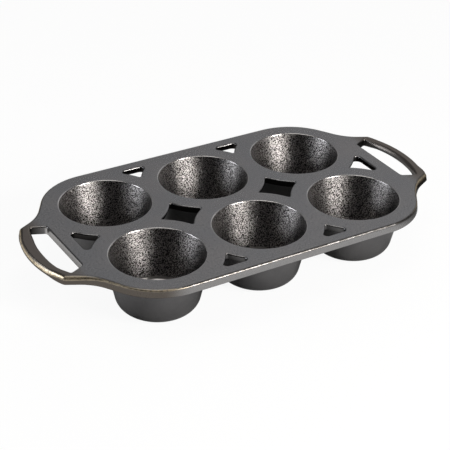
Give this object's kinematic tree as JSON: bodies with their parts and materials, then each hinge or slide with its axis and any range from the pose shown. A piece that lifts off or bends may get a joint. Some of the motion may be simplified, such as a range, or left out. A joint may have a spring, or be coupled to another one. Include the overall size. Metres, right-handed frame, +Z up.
{
  "type": "muffin pan",
  "caption": "Rectangular cast iron muffin pan: round tapered cups hung under a pierced flat deck, with a bowed grab handle at each end.",
  "frame": {"origin": "middle of the pan's footprint, on the surface that the cup floors stand on", "axes": "+X along the length to the right-hand handle, +Y to the back row of cups, +Z up out of the cups"},
  "size_m": [0.3906, 0.2142, 0.0515],
  "materials": {
    "deck_iron": "seasoned, satin",
    "cup_iron": "seasoned, pebbled inside",
    "handle_iron": "seasoned, rubbed on the edges"
  },
  "bodies": {
    "root": {"deck": "deck_iron", "cup_front_left": "cup_iron", "cup_front_middle": "cup_iron", "cup_front_right": "cup_iron", "cup_back_left": "cup_iron", "cup_back_middle": "cup_iron", "cup_back_right": "cup_iron", "handle_left": "handle_iron", "handle_right": "handle_iron"}
  },
  "joints": []
}
